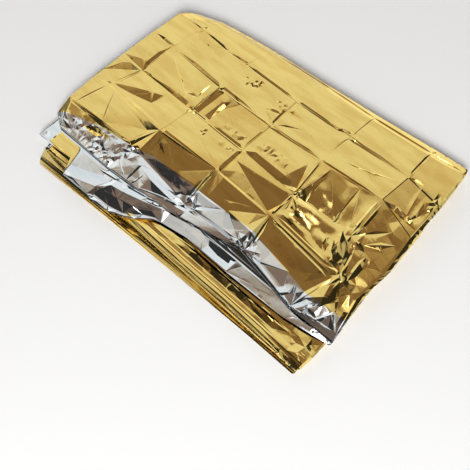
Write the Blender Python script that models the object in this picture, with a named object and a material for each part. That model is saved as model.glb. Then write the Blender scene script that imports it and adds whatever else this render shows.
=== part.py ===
"""Folded emergency foil blanket, as one thin closed solid.

The blanket is a single rectangular sheet. It is doubled end to end, so that one half (film A) lies
on the other (film B) and both meet in a fold at the right end, and then pleated back and forth
across its width into four doubled layers. The frame is +X along the pile, +Y from the open front
edge to the back folds, +Z up, with the origin under the middle of the pile, on the surface.
"""

from collections import namedtuple
import math

import bpy
import numpy as np

MM = 0.001

# Driving sizes, in metres.
FILM = 1.0 * MM  # thickness of the sheet
CELL_LONG = 0.170  # pitch of the factory creases that run across the pile
CELL_WIDE = 0.0875  # pitch of the factory creases that run along the pile
MIDDLE_CROSS = -0.048  # x of the third cross crease
MIDDLE_LONG = 0.008  # y of the long crease C
FOLD_STEPS = 5  # steps round each half-round pleat fold
END_STEPS = 4  # steps round the fold that joins the two halves
FOLD_BULGE = 1.12  # how far a pleat fold swells, in its own radii
END_BULGE = 1.3  # and the fold at the right end

CROSS_X = [MIDDLE_CROSS + CELL_LONG * i for i in (-2, -1, 0, 1, 2)]
LONG_Y = [MIDDLE_LONG + CELL_WIDE * j for j in (-2, -1, 0, 1, 2)]  # creases E, D, C, B and A
LEFT_END, RIGHT_END = -0.450, 0.395  # nominal ends, which each layer's own ends replace

# Heights of the top film in mm: a row for each long crease and edge, a column for each cross
# crease and end. The crossings are uneven, as hand-folded foil is.
Heights = namedtuple("Heights", "line y left one two three four five right")
TOP_FILM = (
    Heights("edge", -0.230, 30.5, 30.0, 29.0, 28.5, 28.5, 29.0, 29.0),
    Heights("E", LONG_Y[0], 37.0, 38.0, 35.0, 33.0, 32.5, 32.0, 31.5),
    Heights("D", LONG_Y[1], 42.0, 45.0, 43.0, 46.0, 41.5, 39.5, 36.5),
    Heights("C", LONG_Y[2], 41.0, 42.0, 46.5, 43.5, 46.0, 41.0, 37.5),
    Heights("B", LONG_Y[3], 39.0, 44.5, 43.0, 42.5, 44.0, 44.0, 38.0),
    Heights("A", LONG_Y[4], 38.0, 42.5, 42.0, 43.0, 42.5, 42.5, 37.5),
    Heights("back", 0.300, 36.0, 39.0, 40.0, 40.0, 39.5, 39.0, 35.0),
)

# How far the middle of each panel of the top film stands over (or, if negative, lies under) its
# corners, in mm: a row for each band between two long creases, a column for each band between two
# cross creases. Each panel is a low pyramid, with a fold from its middle to each corner.
Panels = namedtuple("Panels", "band left one two three four right")
PANELS = (
    Panels("edge to E", -1.5, 2.0, -2.0, 1.5, -2.0, 1.5),
    Panels("E to D", -3.5, -4.5, 4.0, -4.5, 3.5, -3.0),
    Panels("D to C", 4.0, -3.5, -4.5, 4.5, -4.5, 3.5),
    Panels("C to B", -3.0, 4.5, -3.0, -4.0, 3.5, -4.0),
    Panels("B to A", 2.5, -3.5, -3.5, 2.5, -4.0, 2.5),
    Panels("A to back", 1.5, 2.5, -2.0, -2.0, 1.5, -1.5),
)

# The films under it, top to bottom, in mm: height at the front, at mid-depth and at the back, and
# how much each rises and falls along its length.
Film = namedtuple("Film", "name front middle back ripple phase")
UNDER_FILMS = (
    Film("layer 1 lower", 24.5, 28.5, 28.0, 0.9, 0.3),
    Film("layer 2 upper", 21.0, 24.0, 23.5, 0.6, 1.9),
    Film("layer 2 lower", 16.5, 19.0, 18.5, 0.6, 4.4),
    Film("layer 3 upper", 12.0, 14.0, 13.5, 0.5, 2.8),
    Film("layer 3 lower", 8.0, 9.5, 9.0, 0.4, 5.1),
    Film("layer 4 upper", 4.0, 4.5, 4.5, 0.2, 0.9),
    Film("layer 4 lower", 0.5 * FILM / MM, 0.5 * FILM / MM, 0.5 * FILM / MM, 0.0, 0.0),
)

# Where each free edge or pleat fold lies, as y at six places along the pile.
Line = namedtuple("Line", "name far_left left middle_left middle_right right far_right")
LINE_X = (-0.445, -0.300, -0.130, 0.080, 0.270, 0.430)
TOP_EDGE = Line("front edge, layer 1 upper", -0.216, -0.238, -0.232, -0.203, -0.213, -0.218)
SILVER_EDGE = Line("front edge, layer 1 lower", -0.288, -0.304, -0.309, -0.257, -0.256, -0.235)
FRONT_FOLD = Line("pleat fold, layers 2 and 3", -0.289, -0.296, -0.299, -0.295, -0.298, -0.303)
LAST_EDGE_UP = Line("front edge, layer 4 upper", -0.331, -0.327, -0.321, -0.318, -0.316, -0.317)
LAST_EDGE_LOW = Line("front edge, layer 4 lower", -0.325, -0.321, -0.315, -0.312, -0.310, -0.311)
BACK_FOLD_UP = Line("pleat fold, layers 1 and 2", 0.220, 0.262, 0.281, 0.296, 0.317, 0.324)
BACK_FOLD_LOW = Line("pleat fold, layers 3 and 4", 0.208, 0.242, 0.264, 0.278, 0.303, 0.312)

# The ends of each layer, in x: the two free ends at the left, at the front and at the back, and the
# fold at the right that joins film A to film B, at the shares FOLD_DEPTHS of the way back.
Ends = namedtuple("Ends", "name a_front a_back b_front b_back fold")
FOLD_DEPTHS = (0.0, 0.2, 0.35, 0.5, 0.75, 1.0)
LAYER_ENDS = (
    Ends("layer 1", -0.436, -0.456, -0.420, -0.436, (0.436, 0.410, 0.403, 0.391, 0.369, 0.344)),
    Ends("layer 2", -0.384, -0.430, -0.374, -0.424, (0.429, 0.423, 0.398, 0.396, 0.371, 0.342)),
    Ends("layer 3", -0.380, -0.428, -0.376, -0.436, (0.426, 0.421, 0.395, 0.393, 0.368, 0.340)),
    Ends("layer 4", -0.374, -0.440, -0.376, -0.432, (0.426, 0.419, 0.393, 0.391, 0.365, 0.337)),
)

# Stations between one crease and the next, as shares of the way.
WIDE_SHARES = (0.14, 0.5, 0.86)
LONG_SHARES = (0.08, 0.29, 0.5, 0.71, 0.92)
HIDDEN_SHARES = (0.0, 0.16, 0.42, 0.72, 1.0)  # of a hidden layer, from back to front
CREASE_RISE = 2.8  # mm that a crease stands over, or lies under, the panels beside it
CREASE_REACH = 0.008  # metres over which it fades
MARGIN_WAVE = 2.2  # mm that the bare front margin waves up and down along its edge
MARGIN_WAVE_LENGTH = 0.115  # metres from one wave to the next
END_WAVE = 0.0025  # metres that the right end wanders in and out
LEAST_END_BAND = 0.02  # least width of the band between a left end and the next cross crease


def line_y(line, x):
    """The y of a free edge or pleat fold at x."""
    return float(np.interp(x, LINE_X, line[1:]))


def ripple(x, y, phase):
    """A smooth, uneven wave from -1 to 1."""
    long_wave = math.sin(11.0 * x + phase) * math.cos(8.0 * y - phase)
    short_wave = math.sin(27.0 * x - 15.0 * y + 2.0 * phase)
    return 0.65 * long_wave + 0.35 * short_wave


def crease(offset):
    """1 on a crease, fading to 0 beside it."""
    return math.exp(-abs(offset) / CREASE_REACH)


def panel_rise(x, y):
    """How far the panel at (x, y) stands over the line between its corners, in mm."""
    band = int(np.clip(math.floor((y - LONG_Y[0]) / CELL_WIDE) + 1, 0, len(PANELS) - 1))
    column = int(np.clip(math.floor((x - CROSS_X[0]) / CELL_LONG) + 1, 0, len(CROSS_X)))
    u = ((x - CROSS_X[0]) / CELL_LONG) % 1.0
    v = ((y - LONG_Y[0]) / CELL_WIDE) % 1.0
    return PANELS[band][1 + column] * (1.0 - max(abs(2.0 * u - 1.0), abs(2.0 * v - 1.0)))


def margin_wave(x, y):
    """The wave of the bare front margin, in mm, which fades from its edge to crease E."""
    share = np.clip((LONG_Y[0] - y) / (LONG_Y[0] - TOP_FILM[0].y), 0.0, 1.0)
    return MARGIN_WAVE * share * (1.0 + math.sin(2.0 * math.pi * x / MARGIN_WAVE_LENGTH))


def top_height(x, y):
    """Height of the top film, in mm: uneven crossings, folded panels, and ridged or sunken creases."""
    columns = [LEFT_END, *CROSS_X, RIGHT_END]
    rows = [float(np.interp(x, columns, row[2:])) for row in TOP_FILM]
    height = float(np.interp(y, [row.y for row in TOP_FILM], rows))
    height += panel_rise(x, y) + margin_wave(x, y)
    for k, crease_y in enumerate(LONG_Y):
        height += CREASE_RISE * (-1) ** k * crease(y - crease_y)
    for k, crease_x in enumerate(CROSS_X):
        height += 0.6 * CREASE_RISE * (-1) ** k * crease(x - crease_x)
    return height


def film_height(index, depth, x, y):
    """Height in mm of film 0 (the top one) to 7 (the lowest); depth is 0 at the front and 1 at the back."""
    if index == 0:
        return top_height(x, y)
    film = UNDER_FILMS[index - 1]
    height = float(np.interp(depth, (0.0, 0.35, 1.0), (film.front, film.middle, film.back)))
    return height + film.ripple * ripple(x, y, film.phase)


def end_x(ends, half, depth):
    """The x of a layer's left and right end; half is 0 for film A and 1 for film B."""
    left = np.interp(depth, (0.0, 1.0), ends[1 + 2 * half : 3 + 2 * half])
    right = np.interp(depth, FOLD_DEPTHS, ends.fold)
    wave = 0.6 * math.sin(14.0 * depth + 0.5) + 0.4 * math.sin(31.0 * depth + 1.1)
    return float(left), float(right) + END_WAVE * wave


def fitted_x(nominal, left, right):
    """A column's nominal x, moved so that the end columns lie on the layer's own ends."""
    first = next(x for x in CROSS_X if x > left + LEAST_END_BAND)
    last = CROSS_X[-1]
    if nominal < first:
        return first + (nominal - first) * (left - first) / (LEFT_END - first)
    if nominal > last:
        return last + (nominal - last) * (right - last) / (RIGHT_END - last)
    return nominal


def with_shares(stops, shares):
    """The stops with further values between each pair, at those shares of the way."""
    values = []
    for start, end in zip(stops, stops[1:]):
        values.append(start)
        values += [start + (end - start) * share for share in shares]
    return values + [stops[-1]]


def top_rows():
    """Rows across layer 1 from its front edge to its back fold, as (row y, share): the share counts
    from the front edge up to crease E, and from crease A up to the back fold."""
    rows = [(None, 0.0), (None, 0.5)]
    rows += [(y, None) for y in with_shares(LONG_Y, WIDE_SHARES)]
    rows += [(LONG_Y[-1], share) for share in (0.2, 0.6, 1.0)]
    return rows


def top_point(row, half, nominal):
    """A point of layer 1's film A (half 0, the upper) or film B (half 1, the lower)."""
    row_y, share = row
    front_line = SILVER_EDGE if half else TOP_EDGE
    depth = 0.0
    x = nominal
    y = row_y
    for _ in range(2):  # the ends depend on the depth, and the edges on x
        front = line_y(front_line, x)
        back = line_y(BACK_FOLD_UP, x)
        if row_y is None:
            y = front + (LONG_Y[0] - front) * share
        elif share is not None:
            y = row_y + (back - row_y) * share
        depth = (y - front) / (back - front)
        x = fitted_x(nominal, *end_x(LAYER_ENDS[0], half, depth))
    return np.array((x, y, film_height(half, depth, x, y) * MM))


def hidden_point(layer, half, share, nominal):
    """A point of layer 2, 3 or 4 (counted from 0); share is 0 at the back fold and 1 at the front."""
    upper_is_a = layer % 2 == 0
    is_upper = (half == 0) == upper_is_a
    index = 2 * layer + (0 if is_upper else 1)
    back_line = BACK_FOLD_UP if layer == 1 else BACK_FOLD_LOW
    front_line = FRONT_FOLD
    if layer == 3:
        front_line = LAST_EDGE_UP if is_upper else LAST_EDGE_LOW
    depth = 1.0 - share
    x = fitted_x(nominal, *end_x(LAYER_ENDS[layer], half, depth))
    y = line_y(front_line, x) + (line_y(back_line, x) - line_y(front_line, x)) * depth
    return np.array((x, y, film_height(index, depth, x, y) * MM))


def pleat(start, end, outward):
    """The points round a half-round fold from one film's end to the next, without the two ends."""
    middle = (start + end) / 2.0
    radius = abs(start[2] - end[2]) / 2.0
    points = []
    for step in range(1, FOLD_STEPS):
        turn = math.pi * step / FOLD_STEPS
        point = middle + (start - middle) * math.cos(turn)
        point[1] += outward * FOLD_BULGE * radius * math.sin(turn)
        points.append(point)
    return points


def sheet_line(half, nominal):
    """One column of film A or B: layer 1 from its front edge, round every pleat, to layer 4's edge."""
    points = [top_point(row, half, nominal) for row in top_rows()]
    for layer in (1, 2, 3):
        shares = HIDDEN_SHARES if layer != 2 else HIDDEN_SHARES[::-1]
        run = [hidden_point(layer, half, share, nominal) for share in shares]
        points += pleat(points[-1], run[0], -1.0 if layer == 2 else 1.0)
        points += run
    return points


def end_fold(a_line, b_line):
    """The lines round the fold at the right end, between film A's last line and film B's."""
    lines = []
    for step in range(1, END_STEPS):
        turn = math.pi * step / END_STEPS
        line = []
        for a_point, b_point in zip(a_line, b_line):
            middle = (a_point + b_point) / 2.0
            point = middle + (a_point - middle) * math.cos(turn)
            point[0] += END_BULGE * abs(a_point[2] - middle[2]) * math.sin(turn)
            line.append(point)
        lines.append(line)
    return lines


def sheet_lines():
    """Every line of the sheet, from film A's free end, round the right end, to film B's free end."""
    near_left = (LEFT_END + CROSS_X[0]) / 2.0
    a_columns = [LEFT_END, near_left, *with_shares(CROSS_X, LONG_SHARES), 0.335, 0.375, RIGHT_END]
    b_columns = [LEFT_END, *with_shares(CROSS_X, (0.5,)), 0.350, RIGHT_END]
    a_lines = [sheet_line(0, x) for x in a_columns]
    b_lines = [sheet_line(1, x) for x in reversed(b_columns)]
    return a_lines + end_fold(a_lines[-1], b_lines[0]) + b_lines


def foil_material():
    """Gold-coloured metallised film."""
    material = bpy.data.materials.new("gold_foil")
    material.use_nodes = True
    shader = material.node_tree.nodes["Principled BSDF"]
    shader.inputs["Base Color"].default_value = (0.80, 0.58, 0.22, 1.0)
    shader.inputs["Metallic"].default_value = 1.0
    shader.inputs["Roughness"].default_value = 0.18
    return material


def build_blanket():
    """The blanket: its middle surface as a grid of quads, thickened by a Solidify modifier."""
    lines = sheet_lines()
    per_line = len(lines[0])
    points = np.array([point for line in lines for point in line])
    points[:, :2] -= (points[:, :2].min(axis=0) + points[:, :2].max(axis=0)) / 2.0
    faces = []
    for i in range(len(lines) - 1):
        for k in range(per_line - 1):
            corner = i * per_line + k
            faces.append((corner, corner + per_line, corner + per_line + 1, corner + 1))
    mesh = bpy.data.meshes.new("foil_blanket")
    mesh.from_pydata(points.tolist(), [], faces)
    mesh.validate()
    mesh.materials.append(foil_material())
    blanket = bpy.data.objects.new("foil_blanket", mesh)
    bpy.context.scene.collection.objects.link(blanket)
    thickness = blanket.modifiers.new("thickness", "SOLIDIFY")
    thickness.thickness = FILM
    thickness.offset = 0.0
    thickness.use_quality_normals = True
    return blanket


for old in list(bpy.data.objects):
    bpy.data.objects.remove(old, do_unlink=True)
build_blanket()
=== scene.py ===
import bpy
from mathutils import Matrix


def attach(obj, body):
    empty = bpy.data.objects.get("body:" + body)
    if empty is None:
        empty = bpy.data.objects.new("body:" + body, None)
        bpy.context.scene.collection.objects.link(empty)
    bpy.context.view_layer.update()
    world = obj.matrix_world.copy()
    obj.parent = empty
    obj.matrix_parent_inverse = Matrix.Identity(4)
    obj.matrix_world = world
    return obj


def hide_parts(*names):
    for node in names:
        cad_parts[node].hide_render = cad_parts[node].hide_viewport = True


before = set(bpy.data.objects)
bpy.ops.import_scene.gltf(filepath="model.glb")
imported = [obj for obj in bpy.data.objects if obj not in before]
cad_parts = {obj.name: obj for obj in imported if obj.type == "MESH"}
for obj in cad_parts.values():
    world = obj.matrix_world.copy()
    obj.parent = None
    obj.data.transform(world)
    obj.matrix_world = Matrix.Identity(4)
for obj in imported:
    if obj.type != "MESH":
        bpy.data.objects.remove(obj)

"""Dress the folded emergency foil blanket: one thin sheet on the folds of its solid.

The blanket is a single rectangle of metallised film, gold on its outer face and silver on its inner
face and along one uncoated margin. Its two halves, film A and film B, lie one on the other and meet
in a fold at the right end, and together they are pleated back and forth into four doubled layers.
Sizes are in millimetres in the tables and in metres once they reach Blender. +X runs along the
pile, +Y from the open front edge to the back folds, and +Z up.
"""

import logging
import math
from dataclasses import dataclass, field
from enum import Enum, IntEnum
from typing import Callable, NamedTuple, Sequence

import bpy
import numpy as np
from mathutils import Matrix, Vector
from mathutils.geometry import delaunay_2d_cdt

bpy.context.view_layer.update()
LOG = logging.getLogger("foil_blanket")
MM = 0.001
TO_FRAME = Vector((0.0075, -0.0004, 0.0))  # from the tables' origin to the frame's, in metres
SNAP = 1e-4  # mm; points of a net closer than this are one
HULL, OUTLINE = 0, 1  # what a net of triangles fills: all round its points, or its outline
Array = np.ndarray
Colour = tuple[float, float, float]
Place = tuple[float, float]  # u and p, as the class Pile gives them
Point = tuple[float, ...]  # u, p and, where it has one, a height in mm


class Half(Enum):
    """The two halves of the blanket."""

    A = "film A"  # on top, with its gold side up
    B = "film B"  # under it, with its silver side up in front


class Side(IntEnum):
    """How the sheet is finished: its outer side has the material of this number, its inner side the next."""

    COATED = 0  # gold outside and silver inside
    BARE = 1  # silver on both faces
    TURNED = 2  # silver outside and gold inside


class Pleat(Enum):
    """Where a pleat fold is: which way along y it swells, how far in its own radii, how squarely."""

    BACK = (1.0, 1.12, 1.0)  # half round
    FRONT = (-1.0, 2.2, 0.65)  # squarer

    def __init__(self, way: float, bulge: float, squareness: float) -> None:
        """Keep the three numbers under their names."""
        self.way, self.bulge, self.squareness = way, bulge, squareness


class Row(NamedTuple):
    """One line of the top film along the pile, at its left edge, five cross creases and right end."""

    name: str
    x: tuple[float, ...]
    y: tuple[float, ...]
    z: tuple[float, ...]


class Film(NamedTuple):
    """A hidden film: its heights at FILM_DEPTHS, and the height and phase of its unevenness."""

    name: str
    front: float
    middle: float
    back: float
    ripple: float
    phase: float


class Ripple(NamedTuple):
    """An unevenness of the hidden films: its share, and its radians a millimetre along x and y."""

    share: float
    along: float
    across: float


class EndRipple(NamedTuple):
    """An unevenness of the right end: its share, its radians from front to back, and its phase.

    The phase grows by `turn` from each layer to the one under it.
    """

    share: float
    radians: float
    phase: float
    turn: float


class Line(NamedTuple):
    """Values at some places, with straight runs between them: of y along x, or as its name says."""

    name: str
    x: tuple[float, ...]
    y: tuple[float, ...]


class Ends(NamedTuple):
    """The x of a layer's two free ends, at LEFT_DEPTHS, and of its right end, at FOLD_DEPTHS."""

    a_left: tuple[float, ...]
    b_left: tuple[float, ...]
    fold: tuple[float, ...]


class Fold(NamedTuple):
    """A hand-made crease between two places, as a long kite with four flat facets.

    It is deepest at the share `peak` of its length, where it reaches `left` and `right` mm to
    either side, as seen when going from its start to its end. A negative depth is a ridge. With a
    larger `spread` it keeps its full depth for more of its length.
    """

    start: Place
    end: Place
    depth: float
    left: float
    right: float
    peak: float = 0.5
    spread: float = 1.0


class Sketch(NamedTuple):
    """Facets given by lines of points, which the facets' edges follow.

    Heights are towards the side that is seen, and the outline has none.
    """

    name: str
    lines: tuple[tuple[Point, ...], ...]
    softness: float = 0.0  # mm over which its edges are rounded


class Tile(NamedTuple):
    """A panel between four creases, with the heights in mm of its corners over its outline."""

    column: int
    row: int
    back: tuple[float, float]  # left and right
    front: tuple[float, float]

    def sketch(self) -> Sketch:
        """Draw the panel and the thin border that joins it to its creases.

        Returns:
            The panel's outline and its inner edge.
        """
        u0, u1, p0, p1 = self.column, self.column + 1.0, self.row, self.row + 1.0
        du, dp = TILE_BORDER / CELL_LONG, TILE_BORDER / CELL_WIDE
        outer = ((u0, p0), (u1, p0), (u1, p1), (u0, p1), (u0, p0))
        inner = (
            (u0 + du, p0 + dp, self.front[0]),
            (u1 - du, p0 + dp, self.front[1]),
            (u1 - du, p1 - dp, self.back[1]),
            (u0 + du, p1 - dp, self.back[0]),
            (u0 + du, p0 + dp, self.front[0]),
        )
        return Sketch(f"panel {self.column}, {self.row}", (outer, inner))


class Patch(NamedTuple):
    """A small part of the film that shows its other face, by its corners, counterclockwise."""

    name: str
    side: Side
    corners: tuple[Place, ...]


class Fan(NamedTuple):
    """Facets round a place: alternate ridges and furrows, highest at `ring` of the reach.

    The reach is in mm, along the pile and across it.
    """

    centre: Place
    height: float
    reach: tuple[float, float]
    rays: int
    seed: int
    ring: float = 0.5


class Crumple(NamedTuple):
    """Crumpled facets over a stretch of the sheet: their rough size and height in mm."""

    u: tuple[float, float]
    p: tuple[float, float]
    size: tuple[float, float]
    height: float
    seed: int


# The flat sheet. Columns are counted from the left edge (0) over five cross creases to the right
# end (6), rows from the front edge (0) over the long creases E (1), D, C, B and A (5) and the brow
# (6) to the start of the back fold (7).
CELL_LONG = 170.0  # pitch of the factory creases across the pile
CELL_WIDE = 87.5  # and of those along it
COLUMN_AT = (0.0, *(55.0 + CELL_LONG * k for k in range(5)), 845.0)
ROW_AT = (-65.0, *(CELL_WIDE * k for k in range(5)), 425.0, 455.0)
COLUMNS, ROWS = len(COLUMN_AT) - 1, len(ROW_AT) - 1

TOP_ROWS = (
    Row("front edge", (-434, -397, -232, -39, 140, 316, 438), (-216, -238, -240, -225, -187, -219, -216),
        (31, 29.5, 28.5, 28.5, 28, 28, 28)),
    Row("crease E", (-444, -434, -234, -35, 148, 316, 432), (-168, -171, -161, -187, -182, -214, -196),
        (41, 41, 35, 27.5, 32, 30, 32)),
    Row("crease D", (-454, -409, -217, -47, 128, 336, 405), (-78, -79, -92, -80, -83, -96, -108),
        (41, 43, 50, 45, 43.5, 42.5, 36)),
    Row("crease C", (-459, -389, -213, -46, 123, 288, 404), (10, 8, 3, 2, -4, 3, -20),
        (40, 41.5, 45.5, 47, 45, 42, 37)),
    Row("crease B", (-458, -389, -212, -48, 101, 270, 381), (106, 107, 96, 101, 108, 123, 90),
        (46.5, 49, 50.5, 47, 46.5, 46, 41)),
    Row("crease A", (-460, -374, -219, -59, 102, 272, 368), (200, 199, 192, 194, 205, 210, 200),
        (45, 48, 49, 47, 46, 45, 39)),
    Row("brow", (-448, -372, -218, -62, 97, 262, 346), (222, 243, 263, 272, 279, 293, 309),
        (40, 42, 43, 43, 43, 43, 37)),
    Row("back", (-446, -372, -218, -62, 97, 262, 342), (228, 255, 274, 285, 300, 318, 328),
        (35, 36, 36, 36, 35, 34, 31)),
)

FILMS = (
    Film("layer 1 lower", 24.0, 28.0, 28.0, 0.9, 0.3),
    Film("layer 2 upper", 21.0, 24.0, 23.5, 0.6, 1.9),
    Film("layer 2 lower", 16.5, 19.0, 18.5, 0.6, 4.4),
    Film("layer 3 upper", 12.0, 14.0, 13.5, 0.5, 2.8),
    Film("layer 3 lower", 8.0, 9.5, 9.0, 0.4, 5.1),
    Film("layer 4 upper", 4.0, 4.5, 4.5, 0.2, 0.9),
    Film("layer 4 lower", 0.5, 0.5, 0.5, 0.0, 0.0),
)
FILM_DEPTHS = (0.0, 0.35, 1.0)  # shares of the way back at which a hidden film's heights are given
BROAD_RIPPLE = Ripple(0.65, 0.011, 0.008)
FINE_RIPPLE = Ripple(0.35, 0.027, 0.015)
ALONG = (-445, -300, -130, 80, 270, 430)  # x at which the straighter edges and folds are given
SILVER_EDGE = Line("front edge, layer 1 lower", (-445, -250, -155, -105, -55, 0, 80, 270, 345, 430),
                   (-323, -321, -318, -300, -262, -244, -248, -249, -242, -226))
FRONT_FOLD = Line("pleat fold, layers 2 and 3", (-445, -300, -230, -150, -90, 80, 270, 430),
                  (-284, -286, -282, -280, -287, -291, -294, -299))
LAST_EDGE_UP = Line("front edge, layer 4 upper", ALONG, (-331, -327, -321, -318, -316, -317))
LAST_EDGE_LOW = Line("front edge, layer 4 lower", ALONG, (-325, -321, -315, -312, -310, -311))
BACK_FOLD_UP = Line("pleat fold, layers 1 and 2", ALONG, (214, 258, 276, 292, 316, 324))
BACK_FOLD_LOW = Line("pleat fold, layers 3 and 4", ALONG, (206, 240, 262, 276, 303, 312))
ROLL = Line("rolled front edge of layer 4: height over depth", (0.0, 0.003, 0.008, 0.015, 0.028, 0.07),
            (-3.2, 2.0, 5.5, 6.5, 5.5, 0.0))
LEFT_DEPTHS = (0.0, 0.07, 1.0)  # shares of the way back at which a left end is given
FOLD_DEPTHS = (0.0, 0.2, 0.35, 0.5, 0.75, 1.0)  # and a right end
LAYER_ENDS = (
    Ends((-424, -426, -449), (-419, -419, -436), (434, 413, 403, 392, 369, 345)),
    Ends((-384, -392, -430), (-374, -382, -424), (428, 423, 397, 395, 370, 341)),
    Ends((-376, -390, -428), (-372, -388, -436), (425, 420, 393, 392, 367, 339)),
    Ends((-366, -390, -440), (-366, -391, -432), (425, 419, 392, 390, 364, 336)),
)
END_RIPPLES = (EndRipple(0.6, 14.0, 0.5, 1.0), EndRipple(0.4, 31.0, 1.1, -1.0))
END_UNEVENNESS = 2.5  # mm
COATING_END = Line("row at which the gold stops, along u",
                   (0.0, 0.5, 1.0, 1.5, 2.0, 2.3, 3.0, 4.0, 5.0, 6.0, 7.0),
                   (0.10, 0.38, 0.55, 0.88, 1.0, 1.27, 1.42, 1.44, 1.37, 1.38, 1.38))
# The turned hem at the front left of layer 1's lower film.
HEM_ROW = Line("row at which it is folded back, along the columns", (0.0, 1.30, 1.42), (0.58, 0.53, 0.0))
HEM_LIFT = Line("mm that it lies over the film, or under it where negative, along the columns",
                (0.0, 0.56, 0.62, 1.42), (-1.2, -1.2, 1.6, 1.6))
HEM_TURN = 0.06  # rows over which it rises

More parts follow.
